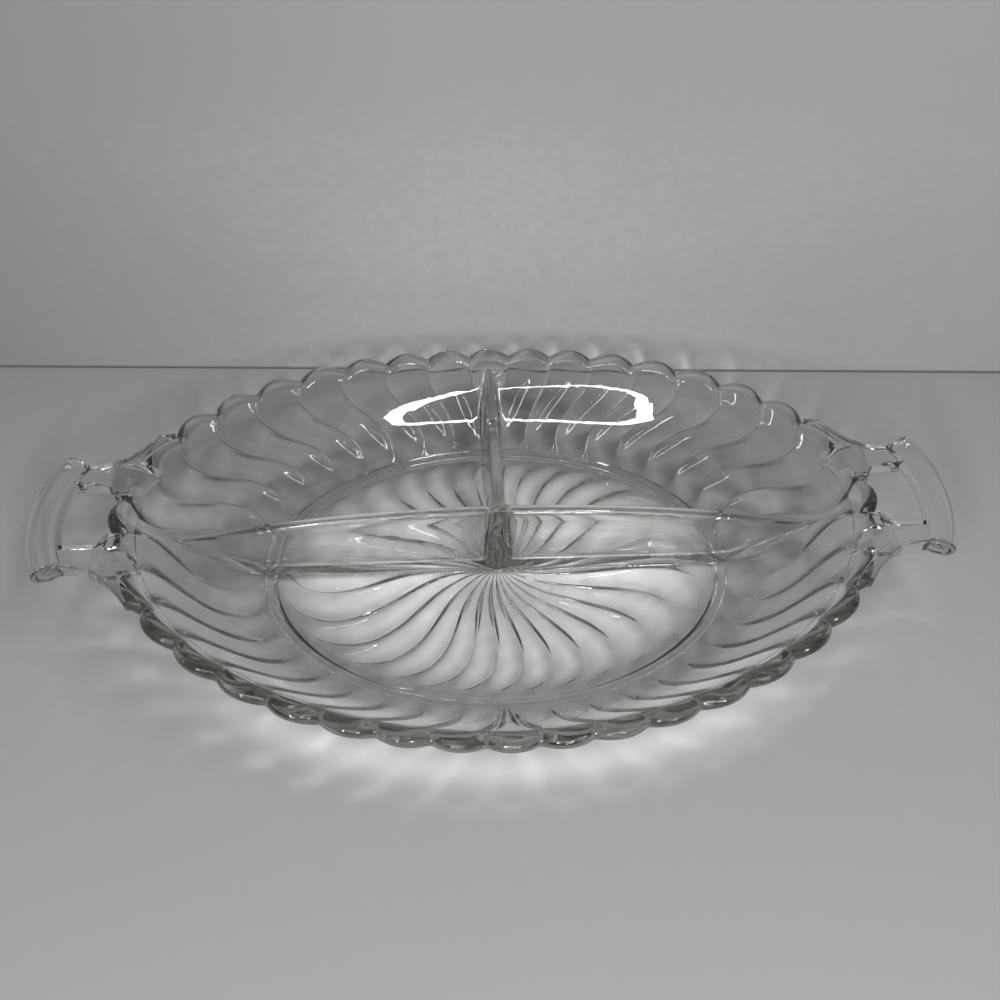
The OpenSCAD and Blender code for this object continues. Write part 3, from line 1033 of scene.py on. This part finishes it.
def light_points(share):
    """Points on the lights for shares from 0 to 1: along their strips, and across them."""
    strips = light_strips()
    power = np.array([(stop - start).length * width * glow for start, stop, width, glow in strips])
    ends = np.cumsum(power)
    along = share[:, 0] * ends[-1]
    i = np.minimum(np.searchsorted(ends, along, side="right"), len(strips) - 1)
    f = 1 - (ends[i] - along) / power[i]
    starts = np.array([start[:] for start, _, _, _ in strips])[i]
    runs = np.array([(stop - start)[:] for start, stop, _, _ in strips])[i]
    widths = np.array([width for _, _, width, _ in strips])[i]
    beside = np.stack([-runs[:, 1], runs[:, 0], 0 * runs[:, 0]], 1)
    beside /= np.linalg.norm(runs, axis=1)[:, None]
    return starts + f[:, None] * runs + ((share[:, 1] - 0.5) * widths)[:, None] * beside


def blurred(values, width):
    reach = np.arange(-4, 5)
    kernel = np.exp(-0.5 * (reach / width) ** 2)
    kernel /= kernel.sum()
    for axis in (0, 1):
        values = sum(k * np.roll(values, int(r), axis) for k, r in zip(kernel, reach))
    return values


def trace(tray, patches):
    """Sends rays from the lights through the tray, and counts on the patches where they land."""
    caster = Caster(tray)
    luck = np.random.default_rng(5)

    def land(start, aim, weight):
        far, at = zip(*(patch.meet(start, aim) for patch in patches))
        first = far[0] <= far[1]
        for patch, mine, where in zip(patches, (first, ~first), at):
            patch.add(where[mine], weight[mine])

    for begun in range(0, RAYS, RAYS_AT_ONCE):
        share = spread(RAYS_AT_ONCE, begun, 4)
        start = light_points(share[:, :2])
        x, y = (share[:, 2] * 2 - 1) * BEAM_X, (share[:, 3] * 2 - 1) * BEAM_Y
        aim = np.stack([x, y, 0 * x + BEAM_Z], 1) - start
        far = np.linalg.norm(aim, axis=1)
        aim /= far[:, None]
        weight = aim[:, 2] ** 2 / far**2 * (4 * BEAM_X * BEAM_Y / RAYS)
        hit, place, flat, smooth = caster.cast(start, aim)
        start, aim, weight = start[hit], aim[hit], weight[hit]
        # The tray takes this light away from where it would have landed
        land(start, aim, -weight)
        place, flat, smooth = place[hit], flat[hit], smooth[hit]
        for _ in range(TURNS):
            aim = turned(aim, flat, smooth, luck.random(len(aim)))
            start = place + aim * RAY_START
            hit, place, flat, smooth = caster.cast(start, aim)
            land(start[~hit], aim[~hit], weight[~hit])
            start, aim, weight = start[hit], aim[hit], weight[hit]
            place, flat, smooth = place[hit], flat[hit], smooth[hit]
    caster.close()


def lit_patches(tray):
    """Patches of floor and backdrop with the light there, as shares of that without the tray."""
    along = (math.cos(BACKDROP_TURN), math.sin(BACKDROP_TURN), 0)
    floor = Patch((0, 0, 0), (1, 0, 0), (0, 1, 0), (PATCH_X, PATCH_Y))
    backdrop = Patch((0, BACKDROP_Y, 0), along, (0, 0, 1), (PATCH_X, PATCH_Z))
    trace(tray, (floor, backdrop))
    spots = light_points(spread(LAMP_SPOTS, 0, 2))
    for patch in (floor, backdrop):
        places = patch.places(*patch.rows())
        plain = np.zeros(patch.shape)
        for spot in spots:
            to = spot - places
            far = np.linalg.norm(to, axis=2)
            plain += np.maximum(to @ patch.facing, 0) / far * to[..., 2] / far / far**2 / len(spots)
        change = np.clip(blurred(patch.gain, BLUR) / (CELL**2 * plain), -1, 2)
        if patch is floor:
            change = gathered(change, places)
        patch.light = 1 + change * patch.fade()
    return floor, backdrop


def gathered(change, places):
    """Gathers light on the bowl's floor and in front, and takes some from under the wall."""
    x, y = places[..., 0] / (RIM_A * MM), places[..., 1] / (RIM_B * MM)
    out = np.hypot(x, y)
    front = np.clip(-y / FRONT_FULL, 0, 1)
    past = np.maximum(out - SPILL_FROM, 0)
    # Carries the pattern in front outwards
    pull = 1 - front * past * (1 - SPILL_PULL) / out
    i = np.clip(((places[..., 0] * pull - PATCH_X[0]) / CELL).astype(int), 0, change.shape[0] - 1)
    j = np.clip(((places[..., 1] * pull - PATCH_Y[0]) / CELL).astype(int), 0, change.shape[1] - 1)
    moved = change[i, j]
    outside = front * np.clip(past / SPILL_SOFT, 0, 1)
    moved = moved * lerp(1, np.where(moved > 0, SPILL_GAIN, SPILL_SHADE), outside)
    rear = np.clip(y / REAR_FROM - 1, 0, 1) * np.clip((REAR_END - out) / REAR_SOFT, 0, 1)
    gain = np.interp(out, *zip(*GATHER)) - REAR_SHADE * rear
    ahead = np.clip((-y - GLOW_FROM) / GLOW_SOFT, 0, 1)
    glow = GLOW * np.exp(-(((out - GLOW_AT) / GLOW_HALF) ** 2)) * ahead
    return blurred((1 + moved) * lerp(gain, 1, outside) - 1 + glow, GATHER_BLUR)


def board(name, tone):
    """Matt pale board, lit by its light attribute too. From behind it can't be seen."""
    made, wire = material(name)
    light = wire.node("ShaderNodeAttribute", {"attribute_name": "light"}, output="Vector")
    shade = wire.node("ShaderNodeMix", {"data_type": "RGBA", "blend_type": "MULTIPLY"}, {
        "Factor": 1.0, 6: tone, 7: light,
    }, output=2)
    face = wire.node("ShaderNodeBsdfPrincipled", None, {
        "Base Color": shade, "Roughness": 0.8, "Specular IOR Level": 0.15,
    })
    behind = wire.node("ShaderNodeNewGeometry", output="Backfacing")
    clear = wire.node("ShaderNodeBsdfTransparent")
    face = wire.node("ShaderNodeMixShader", None, {0: behind, 1: face, 2: clear})
    wire.node("ShaderNodeOutputMaterial", None, {"Surface": face})
    return made


def sheet_of(name, patch, rims, finish):
    """A board round a patch: fine cells where the patch is, wide ones between its rims' lines."""
    u, v = (np.concatenate([lows, fine, highs]) for (lows, highs), fine in zip(rims, patch.rows()))
    i, j = (len(lows) for lows, _ in rims)
    light = np.ones((len(u), len(v)))
    light[i:i + patch.shape[0], j:j + patch.shape[1]] = patch.light
    if patch.upright:
        dim = np.clip(1 + BACKDROP_DIM * (u - BACKDROP_DIM_FROM), BACKDROP_DIM_LEAST, 1)
        light *= dim[:, None]
        light[:, :2] = FOLD_LIGHT
    else:
        light[[0, -1]] = FAR_LIGHT
        light[:, [0, -1]] = FAR_LIGHT
    index = np.arange(light.size).reshape(light.shape)
    mesh = bpy.data.meshes.new(name)
    mesh.from_pydata(patch.places(u, v).reshape(-1, 3).tolist(), [], grid_faces(index))
    values = mesh.attributes.new("light", "FLOAT", "POINT")
    values.data.foreach_set("value", light.ravel().astype(np.float32))
    mesh.materials.append(finish)
    obj = bpy.data.objects.new(name, mesh)
    bpy.context.scene.collection.objects.link(obj)


def stage(tray):
    floor, backdrop = lit_patches(tray)
    sheet_of("floor", floor, FLOOR_RIMS, board("pale_floor", FLOOR_TONE))
    sheet_of("backdrop", backdrop, BACKDROP_RIMS, board("pale_backdrop", BACKDROP_TONE))


# Room: what the glass mirrors past the boards, and a soft fill that only matt surfaces see
ROOM_TONE = (0.02, 0.021, 0.021, 1)
FILL_TONE = (0.12, 0.12, 0.12, 1)


def room():
    """A dim room with a fill for the boards."""
    world = bpy.data.worlds.new("room")
    bpy.context.scene.world = world
    world.use_nodes = True
    world.node_tree.nodes.clear()
    wire = Wire(world.node_tree)
    dim = wire.node("ShaderNodeBackground", None, {"Color": ROOM_TONE})
    fill = wire.node("ShaderNodeBackground", None, {"Color": FILL_TONE})
    diffuse = wire.node("ShaderNodeLightPath", output="Is Diffuse Ray")
    light = wire.node("ShaderNodeMixShader", None, {0: diffuse, 1: dim, 2: fill})
    wire.node("ShaderNodeOutputWorld", None, {"Surface": light})


# Camera: place in millimetres, turns in degrees, and a square frame as wide as the lens is long
CAMERA_AT = (-14.12, -182.59, 259.6)
CAMERA_YAW = 4.448
CAMERA_PITCH = 50.50
CAMERA_ROLL = 1.866
LENS = 36


def camera():
    yaw, pitch, roll = (math.radians(a) for a in (CAMERA_YAW, CAMERA_PITCH, CAMERA_ROLL))
    level = Vector((math.cos(yaw), -math.sin(yaw), 0))
    ahead = Vector((math.sin(yaw) * math.cos(pitch), math.cos(yaw) * math.cos(pitch), -math.sin(pitch)))
    upright = level.cross(ahead)
    right = math.cos(roll) * level + math.sin(roll) * upright
    up = -math.sin(roll) * level + math.cos(roll) * upright
    data = bpy.data.cameras.new("camera")
    data.lens = LENS
    data.sensor_width = LENS
    data.clip_start = 0.01
    obj = bpy.data.objects.new("camera", data)
    facing = Matrix((right, up, -ahead)).transposed().to_4x4()
    obj.matrix_world = Matrix.Translation(Vector(CAMERA_AT) * MM) @ facing
    bpy.context.scene.collection.objects.link(obj)
    bpy.context.scene.camera = obj


def cycles_settings():
    scene = bpy.context.scene
    scene.view_settings.view_transform = "Standard"
    cycles = scene.cycles
    cycles.max_bounces = 20
    cycles.transmission_bounces = 18
    cycles.glossy_bounces = 12
    cycles.diffuse_bounces = 2
    cycles.transparent_max_bounces = 16
    cycles.sample_clamp_indirect = 20
    cycles.use_denoising = True


# Edges that turn by more degrees than this stay sharp
SHARP_FROM = 50

tray = joined_in(tray_shell().object("pressed_tray"), handle_parts())
tray.data.shade_smooth()
tray.data.set_sharp_from_angle(angle=math.radians(SHARP_FROM))
tray.data.materials.clear()
tray.data.materials.append(clear_glass())
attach(tray, "root")
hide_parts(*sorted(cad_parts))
# The boards hold the light that comes through the glass, so it lets lamps and their own light by
tray.visible_shadow = False
tray.visible_diffuse = False

stage(tray)
lights()
room()
camera()
cycles_settings()
